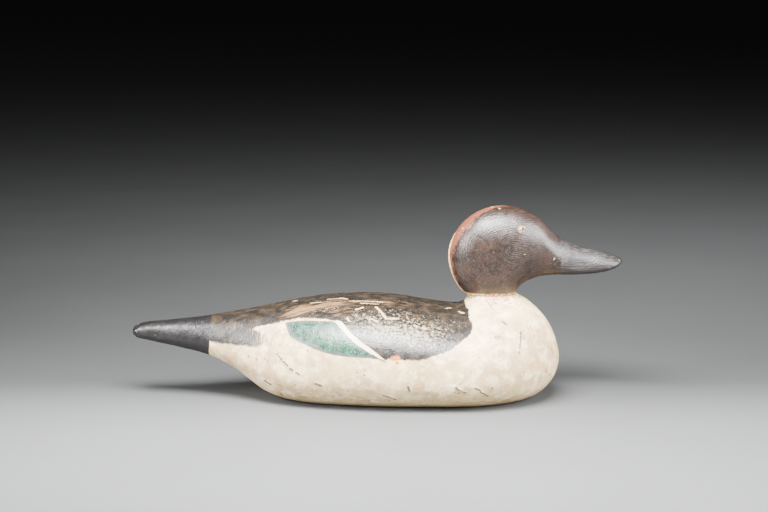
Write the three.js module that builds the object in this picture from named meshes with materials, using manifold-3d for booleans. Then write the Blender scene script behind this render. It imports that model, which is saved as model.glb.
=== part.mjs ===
// A drake pintail decoy: a carved wooden body with a flat underside and a raised neck seat,
// and a carved head with its bill, which stands on the seat.
// Millimetres, +Z up, +X towards the bill. The origin is on the underside, at the middle of the length.
import * as THREE from "three";
import { mergeVertices } from "three/addons/utils/BufferGeometryUtils.js";
import Module from "manifold-3d";

const wasm = await Module();
wasm.setup();

// Driving sizes
const LENGTH = 445; // tail tip to bill tip
const BODY_LENGTH = 388.5; // tail tip to the front of the breast
const HEAD_LENGTH = 157.5; // back of the head to the bill tip
const SEAT_HEIGHT = 96; // underside to the top of the neck seat
const SEAM = 0.3; // the open line between the seat and the head
const BODY_FACES = { around: 56, along: 52 };
const HEAD_FACES = { around: 40, along: 42 };
const SAMPLES_PER_POINT = 40; // how finely an outline is read between two of its points
const MERGE_DISTANCE = 1e-4;

const TAIL_TIP = -LENGTH / 2;
const BILL_TIP = LENGTH / 2;
const HEAD_BACK = BILL_TIP - HEAD_LENGTH;

// The body's lines, from the tail tip forwards: [distance from the tail tip, height above the table]
const BACK_LINE = [
  [1.5, 65],
  [10, 68.2],
  [36, 71],
  [69, 74.6],
  [102, 80],
  [135, 86.4],
  [168, 92],
  [206, 94.4],
  [238, 92.6],
  [268, 88],
  [292, 85],
  [312, 86],
  [332, 92],
  [347, 94.8],
  [359.5, 89],
  [374, 75.5],
  [382.5, 62],
];
const BREAST_FRONT = [BODY_LENGTH, 40];
const KEEL_LINE = [
  [387, 28],
  [380.5, 15.5],
  [370, 6],
  [355, 0],
  [332, -3.5],
  [270, -5],
  [200, -4.5],
  [155, -2],
  [133, 2.5],
  [118, 9.5],
  [106, 18.5],
  [90, 30],
  [69, 39.5],
  [42, 46.5],
  [17, 52],
  [3, 56],
];
const TAIL_END = [0, 60.5];
// Half of the body's width, seen from above: [distance from the tail tip, half width]
const BODY_HALF_WIDTHS = [
  [0, 0],
  [2, 7.5],
  [18, 11],
  [42, 15],
  [68, 21],
  [93, 30],
  [118, 42],
  [143, 54],
  [173, 65],
  [207, 72],
  [243, 75.5],
  [283, 75.5],
  [318, 72],
  [343, 63.5],
  [362, 51],
  [377, 35],
  [386, 16],
  [BODY_LENGTH, 0],
];
const BODY_SECTION = { widest: 0.43, upperPower: 2.15, lowerPower: 2.35 };

// The head's lines, from the back of the head forwards
const CROWN_LINE = [
  [1, 140],
  [6, 151],
  [14, 161.5],
  [27, 171],
  [40, 175.2],
  [53, 175.8],
  [67, 173.2],
  [80.5, 165.7],
  [92.5, 154],
  [103.5, 145.3],
  [118, 139.2],
  [137, 135.2],
  [150, 130.8],
];
const BILL_END = [HEAD_LENGTH, 125.5];
const THROAT_LINE = [
  [150, 119.2],
  [137, 115.4],
  [118, 113.6],
  [98, 113.3],
  [84, 112],
  [73, 108.4],
  [65.5, 103.8],
  [60.5, 97.5],
  [52, 87],
  [38, 82],
  [24, 87],
  [15, 96],
  [8, 104],
  [3, 114],
];
const HEAD_REAR = [0, 127.5];
const HEAD_HALF_WIDTHS = [
  [0, 0],
  [3, 9],
  [10, 17],
  [22, 23],
  [36, 25.3],
  [50, 24.9],
  [63, 22.6],
  [73, 19.6],
  [84, 16.6],
  [96, 14.2],
  [108, 12.7],
  [122, 12.3],
  [138, 12.6],
  [149, 10.8],
  [155, 6.5],
  [HEAD_LENGTH, 0],
];
const HEAD_SECTION = { widest: 0.56, upperPower: 2.1, lowerPower: 2.2 };
const BILL_SECTION = { widest: 0.32, upperPower: 1.75, lowerPower: 2.4 };
const BILL_ROOT = [84, 108]; // where the head's section turns into the bill's

// The neck seat, a low stand with a hollowed flare that the head is set on
const SEAT = {
  x: 328.5,
  radius: 21.5,
  drop: 11,
  flare: 12,
  depth: 40,
  steps: 6,
  sides: 40,
};

// The eye, a small punched hole in a shallow dish on each side of the head
const EYE = {
  x: 64.7,
  height: 157.6,
  dishRadius: 3.2,
  dishDepth: 0.9,
  holeRadius: 1.1,
  holeDepth: 3,
  sides: 16,
};

// The tail tip has lost its upper and lower corners, which leaves a stub
const STUB = { length: 5.5, top: 64, bottom: 56.5, cutter: 22 };

const PAINT = {
  body: { color: 0xcfc4ae, roughness: 0.6, metalness: 0 },
  head: { color: 0x40332f, roughness: 0.4, metalness: 0 },
};

// A closed outline through the points, as two lines: heights above and below, at a distance along it.
function closedOutline(upper, front, lower, rear) {
  const points = [rear, ...upper, front, ...lower].map(([x, z]) => new THREE.Vector3(x, z, 0));
  const curve = new THREE.CatmullRomCurve3(points, true, "centripetal");
  const samples = curve.getPoints(points.length * SAMPLES_PER_POINT);
  const lowestX = Math.min(...samples.map((p) => p.x));
  const highestX = Math.max(...samples.map((p) => p.x));
  const heightsAt = (x) => {
    const crossings = [];
    for (let i = 0; i + 1 < samples.length; i++) {
      const [a, b] = [samples[i], samples[i + 1]];
      if ((a.x - x) * (b.x - x) <= 0 && a.x !== b.x) {
        crossings.push(THREE.MathUtils.mapLinear(x, a.x, b.x, a.y, b.y));
      }
    }
    return { top: Math.max(...crossings), bottom: Math.min(...crossings) };
  };
  return { lowestX, highestX, heightsAt };
}

// A plan as an outline: the half widths and their mirror image.
function planOutline(halfWidths) {
  const inner = halfWidths.slice(1, -1);
  const mirrored = inner.map(([x, w]) => [x, -w]).reverse();
  return closedOutline(inner, halfWidths.at(-1), mirrored, halfWidths[0]);
}

// A point of a cross-section that is two half superellipses, one above and one below its widest height.
function sectionPoint(angle, halfWidth, { top, bottom }, { widest, upperPower, lowerPower }) {
  const middle = THREE.MathUtils.lerp(bottom, top, widest);
  const power = 2 / (Math.sin(angle) >= 0 ? upperPower : lowerPower);
  const across = Math.abs(Math.cos(angle)) ** power * Math.sign(Math.cos(angle));
  const up = Math.abs(Math.sin(angle)) ** power;
  const z = Math.sin(angle) >= 0 ? middle + (top - middle) * up : middle - (middle - bottom) * up;
  return [halfWidth * across, z];
}

// A geometry with positions only, and one vertex wherever several met.
function joined(geometry) {
  const bare = geometry.clone();
  bare.deleteAttribute("normal");
  bare.deleteAttribute("uv");
  return mergeVertices(bare, MERGE_DISTANCE);
}

function solidOf(geometry) {
  const closed = joined(geometry);
  return new wasm.Manifold(
    new wasm.Mesh({
      numProp: 3,
      vertProperties: closed.getAttribute("position").array,
      triVerts: new Uint32Array(closed.index.array),
    }),
  );
}

// Draws out a ball so that its sides meet a side outline and a plan.
// sectionAt gives the section at a distance.
function carvedSolid(side, plan, sectionAt, start, { around, along }) {
  const blank = joined(new THREE.SphereGeometry(1, around, along).rotateZ(-Math.PI / 2));
  const position = blank.getAttribute("position");
  for (let i = 0; i < position.count; i++) {
    const share = (THREE.MathUtils.clamp(position.getX(i), -1, 1) + 1) / 2;
    const x = THREE.MathUtils.lerp(side.lowestX, side.highestX, share);
    const planX = THREE.MathUtils.lerp(plan.lowestX, plan.highestX, share);
    const angle = Math.atan2(position.getZ(i), position.getY(i));
    const [y, z] = sectionPoint(angle, plan.heightsAt(planX).top, side.heightsAt(x), sectionAt(x));
    position.setXYZ(i, start + x, y, z);
  }
  return solidOf(blank);
}

function meshOf(name, solid, paint) {
  const { numProp, vertProperties, triVerts } = solid.getMesh();
  const count = vertProperties.length / numProp;
  const positions = new Float32Array(count * 3);
  for (let i = 0; i < count; i++) {
    positions.set(vertProperties.subarray(i * numProp, i * numProp + 3), i * 3);
  }
  const geometry = new THREE.BufferGeometry();
  geometry.setAttribute("position", new THREE.BufferAttribute(positions, 3));
  geometry.setIndex(new THREE.BufferAttribute(triVerts, 1));
  geometry.computeVertexNormals();
  const mesh = new THREE.Mesh(geometry, new THREE.MeshStandardMaterial(paint));
  mesh.name = name;
  return mesh;
}

// All the space under a height, as a solid to cut away.
function spaceUnder(height) {
  return solidOf(new THREE.BoxGeometry(2 * LENGTH, LENGTH, LENGTH).translate(0, 0, height - LENGTH / 2));
}

// The seat's stand is turned about its own axis, with a flare that eases out
// from a steep top to a level foot.
function neckSeat() {
  const profile = [new THREE.Vector2(0, SEAT_HEIGHT)];
  for (let i = 0; i <= SEAT.steps; i++) {
    const share = i / SEAT.steps;
    const fall = SEAT.drop * (1 - (1 - share) ** 2);
    profile.push(new THREE.Vector2(SEAT.radius + SEAT.flare * share, SEAT_HEIGHT - fall));
  }
  profile.push(new THREE.Vector2(SEAT.radius, SEAT_HEIGHT - SEAT.depth));
  profile.push(new THREE.Vector2(0, SEAT_HEIGHT - SEAT.depth));
  const stand = new THREE.LatheGeometry(profile.reverse(), SEAT.sides).rotateX(Math.PI / 2);
  return solidOf(stand.translate(TAIL_TIP + SEAT.x, 0, 0));
}

// A corner that is missing from the tail tip, above or below the stub.
function missingCorner(height, direction) {
  const block = new THREE.BoxGeometry(STUB.cutter, STUB.cutter, STUB.cutter);
  block.translate(TAIL_TIP + STUB.length - STUB.cutter / 2, 0, height + (direction * STUB.cutter) / 2);
  return solidOf(block);
}

function body() {
  const side = closedOutline(BACK_LINE, BREAST_FRONT, KEEL_LINE, TAIL_END);
  const plan = planOutline(BODY_HALF_WIDTHS);
  return carvedSolid(side, plan, () => BODY_SECTION, TAIL_TIP, BODY_FACES)
    .add(neckSeat())
    .subtract(missingCorner(STUB.top, 1))
    .subtract(missingCorner(STUB.bottom, -1))
    .subtract(spaceUnder(0));
}

function headSectionAt(x) {
  const share = THREE.MathUtils.smoothstep(x, ...BILL_ROOT);
  const mix = (key) => THREE.MathUtils.lerp(HEAD_SECTION[key], BILL_SECTION[key], share);
  return { widest: mix("widest"), upperPower: mix("upperPower"), lowerPower: mix("lowerPower") };
}

// The eyes' tool: one turned cutter for each side of the head, from the mid-plane outwards.
function eyeCutter(sideways, reach) {
  const profile = [
    [0, reach - EYE.dishDepth - EYE.holeDepth],
    [EYE.holeRadius, reach - EYE.dishDepth - EYE.holeDepth],
    [EYE.holeRadius, reach - EYE.dishDepth],
    [EYE.dishRadius, reach],
    [EYE.dishRadius, reach + EYE.dishRadius],
    [0, reach + EYE.dishRadius],
  ].map(([radius, distance]) => new THREE.Vector2(radius, distance));
  const cutter = new THREE.LatheGeometry(profile, EYE.sides);
  if (sideways < 0) {
    cutter.rotateZ(Math.PI);
  }
  return solidOf(cutter.translate(HEAD_BACK + EYE.x, 0, EYE.height));
}

function head() {
  const side = closedOutline(CROWN_LINE, BILL_END, THROAT_LINE, HEAD_REAR);
  const plan = planOutline(HEAD_HALF_WIDTHS);
  const carved = carvedSolid(side, plan, headSectionAt, HEAD_BACK, HEAD_FACES);
  const { top, bottom } = side.heightsAt(EYE.x);
  const { widest, upperPower } = headSectionAt(EYE.x);
  const middle = THREE.MathUtils.lerp(bottom, top, widest);
  const rise = (EYE.height - middle) / (top - middle);
  const reach = plan.heightsAt(EYE.x).top * (1 - rise ** upperPower) ** (1 / upperPower);
  return carved
    .subtract(eyeCutter(1, reach))
    .subtract(eyeCutter(-1, reach))
    .subtract(spaceUnder(SEAT_HEIGHT + SEAM));
}

const decoy = new THREE.Group();
decoy.add(meshOf("body", body(), PAINT.body), meshOf("head", head(), PAINT.head));

export default decoy;
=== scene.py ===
"""The finish of a drake pintail decoy: a carved wooden body and head in old, worn oil paint.

Everything is in metres, in the decoy's own frame: +X points from the tail to the bill, +Z is up, and the
origin is on the underside. Lines and marks are written in millimetres. A place on the body's skin is given
as (distance from the tail tip, distance down the side from the middle of the back), as a tape measures it.
"""
import logging
import math
from dataclasses import dataclass, field
from enum import Enum

import bmesh
import bpy
import numpy as np
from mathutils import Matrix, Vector, noise


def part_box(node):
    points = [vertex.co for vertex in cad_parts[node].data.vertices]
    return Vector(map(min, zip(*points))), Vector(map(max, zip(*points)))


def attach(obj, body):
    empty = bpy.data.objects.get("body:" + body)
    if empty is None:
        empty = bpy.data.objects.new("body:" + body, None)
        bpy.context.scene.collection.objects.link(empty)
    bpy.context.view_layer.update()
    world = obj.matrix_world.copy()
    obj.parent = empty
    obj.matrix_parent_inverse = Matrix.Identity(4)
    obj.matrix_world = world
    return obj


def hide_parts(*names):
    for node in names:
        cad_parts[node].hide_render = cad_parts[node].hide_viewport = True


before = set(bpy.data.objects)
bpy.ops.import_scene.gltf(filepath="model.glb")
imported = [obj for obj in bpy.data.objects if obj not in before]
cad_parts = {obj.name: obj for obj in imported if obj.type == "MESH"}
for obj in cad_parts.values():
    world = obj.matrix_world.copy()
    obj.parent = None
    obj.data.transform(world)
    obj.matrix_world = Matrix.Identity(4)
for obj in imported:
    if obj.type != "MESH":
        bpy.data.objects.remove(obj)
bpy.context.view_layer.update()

MM = 0.001
LENGTH = 445.0
BODY_LENGTH = 388.5
HEAD_LENGTH = 157.5
TAIL_X = -LENGTH / 2
HEAD_REAR_X = LENGTH / 2 - HEAD_LENGTH
SEAT_HEIGHT = 96.0
SEAM = 0.3

Socket = bpy.types.NodeSocket
Source = Socket | float | tuple
log = logging.getLogger("decoy")

# The carved lines, as the solids have them: (distance along the piece, height), in millimetres
BACK_LINE = (
    (1.5, 65), (10, 68.2), (36, 71), (69, 74.6), (102, 80), (135, 86.4), (168, 92), (206, 94.4), (238, 92.6),
    (268, 88), (292, 85), (312, 86), (332, 92), (347, 94.8), (359.5, 89), (374, 75.5), (382.5, 62),
)
BREAST_FRONT = (BODY_LENGTH, 40)
KEEL_LINE = (
    (387, 28), (380.5, 15.5), (370, 6), (355, 0), (332, -3.5), (270, -5), (200, -4.5), (155, -2), (133, 2.5),
    (118, 9.5), (106, 18.5), (90, 30), (69, 39.5), (42, 46.5), (17, 52), (3, 56),
)
TAIL_END = (0, 60.5)
BODY_HALF_WIDTHS = (
    (0, 0), (2, 7.5), (18, 11), (42, 15), (68, 21), (93, 30), (118, 42), (143, 54), (173, 65), (207, 72),
    (243, 75.5), (283, 75.5), (318, 72), (343, 63.5), (362, 51), (377, 35), (386, 16), (BODY_LENGTH, 0),
)
CROWN_LINE = (
    (1, 140), (6, 151), (14, 161.5), (27, 171), (40, 175.2), (53, 175.8), (67, 173.2), (80.5, 165.7),
    (92.5, 154), (103.5, 145.3), (118, 139.2), (137, 135.2), (150, 130.8),
)
BILL_END = (HEAD_LENGTH, 125.5)
THROAT_LINE = (
    (150, 119.2), (137, 115.4), (118, 113.6), (98, 113.3), (84, 112), (73, 108.4), (65.5, 103.8),
    (60.5, 97.5), (52, 87), (38, 82), (24, 87), (15, 96), (8, 104), (3, 114),
)
HEAD_REAR = (0, 127.5)
HEAD_HALF_WIDTHS = (
    (0, 0), (3, 9), (10, 17), (22, 23), (36, 25.3), (50, 24.9), (63, 22.6), (73, 19.6), (84, 16.6),
    (96, 14.2), (108, 12.7), (122, 12.3), (138, 12.6), (149, 10.8), (155, 6.5), (HEAD_LENGTH, 0),
)


class Curve:
    """Smooth lines through a few points, as arrays of points close together."""

    SAMPLES = 40
    SIDE_SAMPLES = 8

    @staticmethod
    def run(before: np.ndarray, here: np.ndarray, after: np.ndarray, beyond: np.ndarray, samples: int) -> np.ndarray:
        """Runs centripetal Catmull-Rom spans from each point here to the point after it.

        Args:
            before: The point before each span, one row for each.
            here: Where each span starts.
            after: Where each span ends.
            beyond: The point after each span.
            samples: How many points each span gets, its end left out.

        Returns:
            The points of all spans in order, one row each.
        """

        def knot(a: np.ndarray, b: np.ndarray) -> np.ndarray:
            """Gives the centripetal spacing from a to b."""
            return np.sqrt(np.maximum(np.linalg.norm(b - a, axis=1), 1e-9))[:, None]

        k0, k1, k2 = knot(before, here), knot(here, after), knot(after, beyond)
        leave = ((here - before) / k0 - (after - before) / (k0 + k1) + (after - here) / k1) * k1
        arrive = ((after - here) / k1 - (beyond - here) / (k1 + k2) + (beyond - after) / k2) * k1
        u = (np.arange(samples) / samples)[None, :, None]
        start = (2 * u**3 - 3 * u**2 + 1) * here[:, None] + (u**3 - 2 * u**2 + u) * leave[:, None]
        end = (3 * u**2 - 2 * u**3) * after[:, None] + (u**3 - u**2) * arrive[:, None]
        return (start + end).reshape(-1, 2)

    @classmethod
    def closed(cls, points: list) -> np.ndarray:
        """Draws a smooth closed line through points, without a repeat of the first."""
        here = np.array(points, dtype=float)
        before, after, beyond = (np.roll(here, shift, axis=0) for shift in (1, -1, -2))
        return cls.run(before, here, after, beyond, cls.SAMPLES)

    @classmethod
    def side(cls, points: tuple) -> np.ndarray:
        """Draws a smooth open line through points, and leaves its last point out."""
        row = np.array(points, dtype=float)
        row = np.vstack([2 * row[0] - row[1], row, 2 * row[-1] - row[-2]])
        return cls.run(row[:-3], row[1:-2], row[2:-1], row[3:], cls.SIDE_SAMPLES)


class Outline:
    """A closed outline, read as the height above and the height below at any distance along it."""

    def __init__(self, upper: tuple, front: tuple, lower: tuple, rear: tuple) -> None:
        """Draws the outline through its points.

        Args:
            upper: The points above, from the rear to the front.
            front: The foremost point.
            lower: The points below, from the front to the rear.
            rear: The rearmost point.
        """
        line = Curve.closed([rear, *upper, front, *lower])
        line = np.roll(line, -int(np.argmin(line[:, 0])), axis=0)
        turn = int(np.argmax(line[:, 0]))
        self.above = line[: turn + 1]
        self.below = np.vstack([line[turn:], line[:1]])[::-1]
        self.start = line[0, 0]
        self.end = line[turn, 0]

    @classmethod
    def of_plan(cls, half_widths: tuple) -> "Outline":
        """Draws a plan from its half widths and their mirror image."""
        inner = half_widths[1:-1]
        mirrored = tuple((x, -width) for x, width in reversed(inner))
        return cls(inner, half_widths[-1], mirrored, half_widths[0])

    def at(self, share: np.ndarray) -> np.ndarray:
        """Gives the distance along the outline at a share of its length."""
        return self.start + (self.end - self.start) * share

    def top(self, x: np.ndarray) -> np.ndarray:
        """Gives the height of the line above."""
        return np.interp(x, self.above[:, 0], self.above[:, 1])

    def bottom(self, x: np.ndarray) -> np.ndarray:
        """Gives the height of the line below."""
        return np.interp(x, self.below[:, 0], self.below[:, 1])


@dataclass(frozen=True)
class Section:
    """A cross-section of two half superellipses, one above and one below its widest height."""

    widest: float
    upper_power: float
    lower_power: float

    def mixed(self, other: "Section", share: np.ndarray) -> tuple:
        """Gives the three values part of the way to another section's."""
        mine = (self.widest, self.upper_power, self.lower_power)
        theirs = (other.widest, other.upper_power, other.lower_power)
        return tuple(a + (b - a) * share for a, b in zip(mine, theirs))


def smoothstep(x: np.ndarray, low: float, high: float) -> np.ndarray:
    """Rises smoothly from 0 at low to 1 at high."""
    t = np.clip((x - low) / (high - low), 0, 1)
    return t * t * (3 - 2 * t)


def soft_floor(x: np.ndarray, floor: np.ndarray, radius: float) -> np.ndarray:
    """Keeps x above a floor, and rounds the corner where they meet."""
    return floor + 0.5 * (x - floor + np.sqrt((x - floor) ** 2 + radius**2))


def perlin(places: np.ndarray, size: float) -> np.ndarray:
    """Reads smooth noise, about -1 to 1, that changes over a distance of size, at one place in a row."""
    return np.array([noise.noise(place) for place in (places / size).tolist()])


def from_line(places: np.ndarray, start: tuple, end: tuple) -> np.ndarray:
    """Measures how far flat places are from a straight line between two points."""
    start, along = np.array(start, dtype=float), np.array(end, dtype=float) - start
    share = np.clip((places - start) @ along / max(along @ along, 1e-9), 0, 1)
    return np.linalg.norm(places - start - share[:, None] * along, axis=1)


@dataclass(frozen=True)
class Patch:
    """A painted area on the skin, inside smooth sides that meet in corners."""

    sides: tuple

    def depth(self, places: np.ndarray) -> np.ndarray:
        """Measures how far inside the patch each place is, in millimetres, negative outside it."""
        border = np.vstack([Curve.side(side) for side in self.sides])
        nearest = np.full(len(places), np.inf)
        inside = np.zeros(len(places), dtype=bool)
        x, y = places[:, 0], places[:, 1]
        for start, end in zip(border, np.roll(border, -1, axis=0)):
            nearest = np.minimum(nearest, from_line(places, start, end))
            if start[1] != end[1]:
                crossing = (end[0] - start[0]) * (y - start[1]) / (end[1] - start[1]) + start[0]
                inside ^= ((start[1] > y) != (end[1] > y)) & (x < crossing)
        return np.where(inside, nearest, -nearest)


@dataclass(frozen=True)
class Spot:
    """A soft oval on the skin, strongest in its middle."""

    middle: tuple
    reach: tuple
    strength: float = 1.0

    def at(self, places: np.ndarray) -> np.ndarray:
        """Gives the spot's strength at places."""
        away = (places - self.middle) / self.reach
        return self.strength * np.exp(-np.sum(away**2, axis=1))


def spotted(spots: tuple, places: np.ndarray) -> np.ndarray:
    """Adds up the strength of several spots at places."""
    return sum((spot.at(places) for spot in spots), np.zeros(len(places)))


@dataclass(frozen=True)
class Score:
    """A gouge, crack or scratch: a line on the right side's skin."""

    start: tuple
    end: tuple
    width: float
    depth: float = 0.0

    def relief(self, places: np.ndarray) -> np.ndarray:
        """Gives how far the line is cut in at places, as a number below 0."""
        return -self.depth * (1 - smoothstep(from_line(places, self.start, self.end), 0, self.width + 0.8))


class CarvedForm:
    """A ball drawn out along X until its sides meet a side outline and a plan."""

    RAMP = 0.12
    GIRTH_STEPS = (240, 181)

    def __init__(self, side: Outline, plan: Outline, start: float) -> None:
        """Keeps the two outlines and where the piece starts along X, in millimetres."""
        self.side = side
        self.plan = plan
        self.start = start
        self.girth_table = self.measure_girth()

    def section_at(self, x: np.ndarray) -> tuple:
        """Gives the section's widest height, upper power and lower power at a distance."""
        raise NotImplementedError

    def trim(self, x: np.ndarray, y: np.ndarray, z: np.ndarray, turn: np.ndarray) -> np.ndarray:
        """Gives the heights after the flats and corners are cut."""
        raise NotImplementedError

    def surface(self, share: np.ndarray, turn: np.ndarray) -> np.ndarray:
        """Places points of the surface.

        Args:
            share: How far along the piece each point is, from 0 to 1.
            turn: Each point's angle round the piece, 0 at its left side and a quarter turn at its top.

        Returns:
            The points in millimetres, one row each.
        """
        x = self.side.at(share)
        top, bottom = self.side.top(x), self.side.bottom(x)
        half_width = self.plan.top(self.plan.at(share))
        widest, upper_power, lower_power = self.section_at(x)
        middle = bottom + (top - bottom) * widest
        rise, reach = np.sin(turn), np.cos(turn)
        power = np.where(rise >= 0, 2 / upper_power, 2 / lower_power)
        y = half_width * np.abs(reach) ** power * np.sign(reach)
        z = middle + np.where(rise >= 0, top - middle, bottom - middle) * np.abs(rise) ** power
        return np.stack([x + self.start, y, self.trim(x, y, z, turn)], axis=-1)

    def normals(self, share: np.ndarray, turn: np.ndarray) -> np.ndarray:
        """Gives the surface's outward directions at the points."""
        step, swing = 0.0015, 0.008
        along = self.surface(np.minimum(share + step, 1), turn) - self.surface(np.maximum(share - step, 0), turn)
        around = self.surface(share, turn + swing) - self.surface(share, turn - swing)
        across = np.cross(along, around)
        size = np.linalg.norm(across, axis=-1, keepdims=True)
        return across / np.maximum(size, 1e-9)

    def measure_girth(self) -> np.ndarray:
        """Measures how far down the side each angle is, at steps along the piece."""
        shares, turns = self.GIRTH_STEPS
        share, turn = np.meshgrid(
            np.linspace(0, 1, shares), np.linspace(math.pi / 2, -math.pi / 2, turns), indexing="ij"
        )
        ring = self.surface(share, turn)
        pieces = np.linalg.norm(np.diff(ring, axis=1)[..., 1:], axis=-1)
        return np.hstack([np.zeros((shares, 1)), np.cumsum(pieces, axis=1)])

    def girth(self, share: np.ndarray, turn: np.ndarray) -> np.ndarray:
        """Reads the distance down the side from the middle of the top, in millimetres."""
        shares, turns = self.GIRTH_STEPS
        from_top = np.arccos(np.clip(np.sin(turn), -1, 1)) / math.pi
        i, j = share * (shares - 1), from_top * (turns - 1)
        i0, j0 = np.clip(i.astype(int), 0, shares - 2), np.clip(j.astype(int), 0, turns - 2)
        u, v = i - i0, j - j0
        t = self.girth_table
        near = t[i0, j0] * (1 - v) + t[i0, j0 + 1] * v
        far = t[i0 + 1, j0] * (1 - v) + t[i0 + 1, j0 + 1] * v
        return near * (1 - u) + far * u

    def blank(self, rings: int, segments: int) -> tuple:
        """Makes the ball that is drawn out, with its poles along X and its seam below.

        Args:
            rings: Steps along the piece.
            segments: Steps round it.

        Returns:
            The bmesh, and each vertex's share of the length and turn.
        """
        ball = bmesh.new()
        bmesh.ops.create_grid(ball, x_segments=rings, y_segments=segments, size=1)
        flat = np.array([vertex.co[:] for vertex in ball.verts])
        along, turn = (flat[:, 0] + 1) * math.pi / 2, (flat[:, 1] - 0.5) * math.pi
        width = np.sin(along)
        rolled = np.stack([-np.cos(along), width * np.cos(turn), width * np.sin(turn)], axis=-1)
        for vertex, place in zip(ball.verts, rolled.tolist()):
            vertex.co = place
        bmesh.ops.remove_doubles(ball, verts=ball.verts, dist=1e-5)
        places = np.array([vertex.co[:] for vertex in ball.verts])
        even = np.arccos(np.clip(-places[:, 0], -1, 1)) / math.pi
        speed = 1 / (1 - self.RAMP)
        share = np.where(even < self.RAMP, speed * even**2 / (2 * self.RAMP), speed * (even - self.RAMP / 2))
        late = even > 1 - self.RAMP
        share = np.where(late, 1 - speed * (1 - even) ** 2 / (2 * self.RAMP), share)
        return ball, share, np.arctan2(places[:, 2], places[:, 1])


class BodyForm(CarvedForm):
    """The body's surface: flat below, with the neck seat on its back and its tail tip broken off."""

    SECTION = Section(0.43, 2.15, 2.35)
    SEAT_X = 328.5
    SEAT_RADIUS = 21.5
    SEAT_DROP = 11.0
    SEAT_FLARE = 12.0
    STUB_LENGTH = 5.5
    STUB_TOP = 64.0
    STUB_BOTTOM = 56.5

    def __init__(self) -> None:
        """Draws the body's outlines."""
        side = Outline(BACK_LINE, BREAST_FRONT, KEEL_LINE, TAIL_END)
        super().__init__(side, Outline.of_plan(BODY_HALF_WIDTHS), TAIL_X)

    def section_at(self, x: np.ndarray) -> tuple:
        """Gives the one section that the body has."""
        return self.SECTION.widest, self.SECTION.upper_power, self.SECTION.lower_power

    def beyond_seat(self, x: np.ndarray, y: np.ndarray) -> np.ndarray:
        """Gives the distance out from the seat's rim, in millimetres, negative on the seat."""
        return np.hypot(x - self.SEAT_X, y) - self.SEAT_RADIUS

    def trim(self, x: np.ndarray, y: np.ndarray, z: np.ndarray, turn: np.ndarray) -> np.ndarray:
        """Raises the seat, breaks the tail tip and cuts the underside flat."""
        out = self.beyond_seat(x, y)
        fall = np.clip(out / self.SEAT_FLARE, 0, 1)
        seat = SEAT_HEIGHT - self.SEAT_DROP * (1 - (1 - fall) ** 2) - 3 * np.maximum(out - self.SEAT_FLARE, 0)
        z = np.where(np.sin(turn) > 0, np.minimum(soft_floor(z, seat, 1.2), np.maximum(SEAT_HEIGHT, z)), z)
        broken = 1 - smoothstep(x, self.STUB_LENGTH - 0.7, self.STUB_LENGTH + 0.7)
        stub = np.clip(z, self.STUB_BOTTOM, self.STUB_TOP)
        z = z + (stub - z) * broken
        return soft_floor(z, 0.0, 0.7)


class HeadForm(CarvedForm):
    """The head's surface, with its bill, cut flat where it stands on the seat."""

    SECTION = Section(0.56, 2.1, 2.2)
    BILL_SECTION = Section(0.32, 1.75, 2.4)
    BILL_ROOT = (84, 108)

    def __init__(self) -> None:
        """Draws the head's outlines."""
        side = Outline(CROWN_LINE, BILL_END, THROAT_LINE, HEAD_REAR)
        super().__init__(side, Outline.of_plan(HEAD_HALF_WIDTHS), HEAD_REAR_X)

    def section_at(self, x: np.ndarray) -> tuple:
        """Gives a section that turns from the head's into the bill's."""
        return self.SECTION.mixed(self.BILL_SECTION, smoothstep(x, *self.BILL_ROOT))

    def trim(self, x: np.ndarray, y: np.ndarray, z: np.ndarray, turn: np.ndarray) -> np.ndarray:
        """Cuts the head flat above the seat."""
        return soft_floor(z, SEAT_HEIGHT + SEAM, 0.5)


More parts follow.
